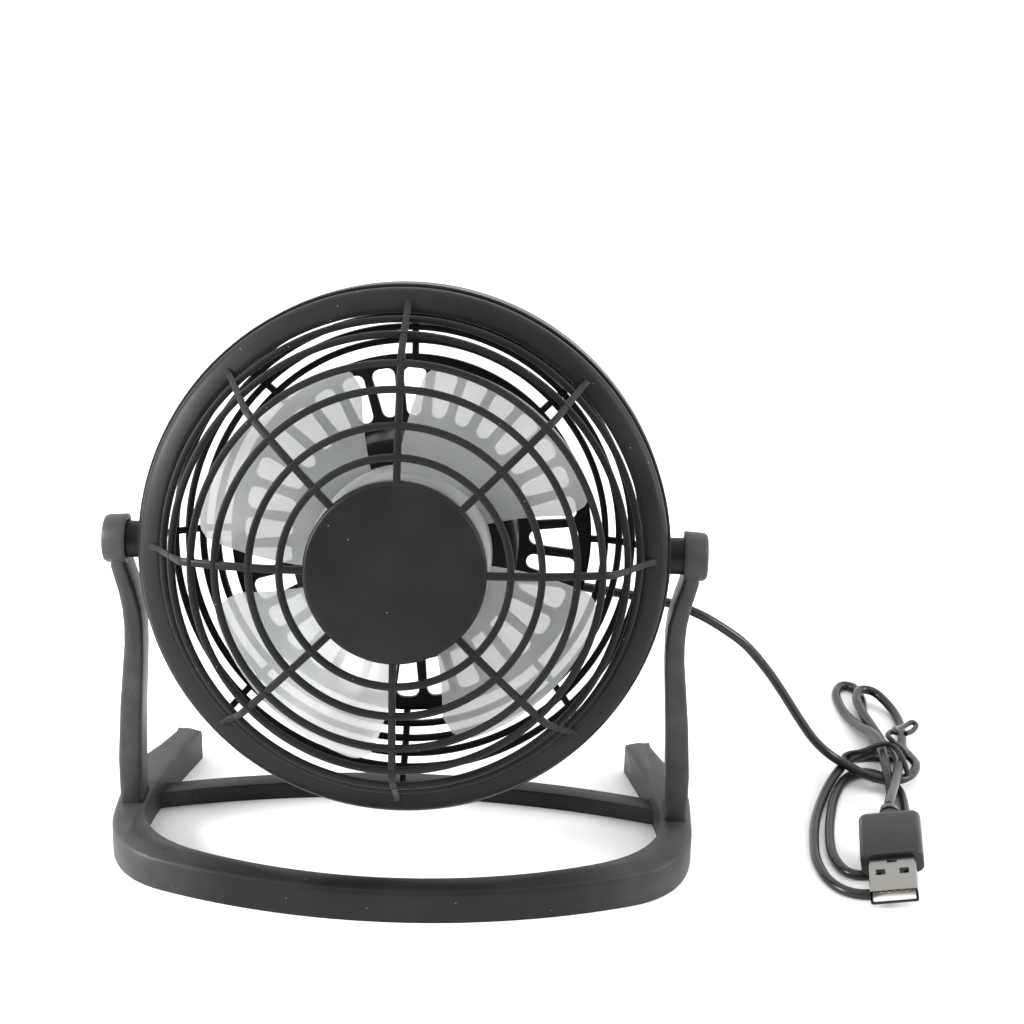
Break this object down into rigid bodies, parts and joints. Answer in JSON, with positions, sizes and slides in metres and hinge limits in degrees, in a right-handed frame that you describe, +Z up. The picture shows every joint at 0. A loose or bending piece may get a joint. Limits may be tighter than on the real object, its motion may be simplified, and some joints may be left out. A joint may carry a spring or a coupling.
{
  "type": "usb desk fan",
  "caption": "Small round desk fan: tilting guarded head with a frosted bladed rotor, held between the two arms of a bowed open base, with a thin lead, tied hank and USB plug.",
  "frame": {"origin": "on the table under the middle of the fan, lead left out", "axes": "+Z up; the fan faces -Y and blows along -Y; the lead lies on the +X side"},
  "size_m": [0.2184, 0.1353, 0.1479],
  "materials": {
    "black_plastic": "satin black with a fine moulded grain",
    "soft_black_plastic": "matte black",
    "black_vinyl": "smooth satin black",
    "red_vinyl": "smooth red wire cover",
    "bright_steel": "bright plated steel",
    "white_plastic": "plain white",
    "contact_brass": "plated brass",
    "copper": "copper and bronze, bare",
    "ferrite": "dull dark grey magnet",
    "frosted_plastic": "frosted see-through"
  },
  "bodies": {
    "base": {"stand": "black_plastic", "cord": "black_vinyl", "cord_hank": "black_vinyl", "cord_tie": "black_vinyl", "plug_overmould": "black_vinyl", "plug_shell": "bright_steel", "plug_tongue": "white_plastic", "plug_contact_1": "contact_brass", "plug_contact_2": "contact_brass", "plug_contact_3": "contact_brass", "plug_contact_4": "contact_brass"},
    "head": {"front_grille": "black_plastic", "rear_shell": "black_plastic", "motor_cover": "soft_black_plastic", "rear_screw_1": "bright_steel", "rear_screw_2": "bright_steel", "rear_screw_3": "bright_steel", "motor_can": "bright_steel", "front_bush": "copper", "motor_end_cap": "white_plastic", "rear_bush": "copper", "magnet_left": "ferrite", "magnet_right": "ferrite", "switch_body": "soft_black_plastic", "switch_terminal_1": "contact_brass", "switch_terminal_2": "contact_brass", "cord_gland": "black_vinyl", "lead_live": "red_vinyl", "lead_switched": "red_vinyl", "lead_return": "black_vinyl"},
    "rotor": {"impeller": "frosted_plastic", "motor_shaft": "bright_steel", "armature": "copper", "commutator": "contact_brass"},
    "rocker": {"rocker": "soft_black_plastic"}
  },
  "joints": [
    {"name": "head_tilt", "type": "hinge", "parent": "base", "child": "head", "pos_m": [0, 0.0047, 0.0826], "axis": [1, 0, 0], "range_deg": [-74.5, 105.5], "deforming": ["cord"]},
    {"name": "rotor_spin", "type": "hinge", "parent": "head", "child": "rotor", "pos_m": [0, 0.0047, 0.0826], "axis": [0, 0.9636, -0.2672], "continuous": true},
    {"name": "rocker_switch", "type": "hinge", "parent": "head", "child": "rocker", "pos_m": [0, 0.03022, 0.08632], "axis": [0, 0.2672, 0.9636], "range_deg": [-20, 0]}
  ]
}
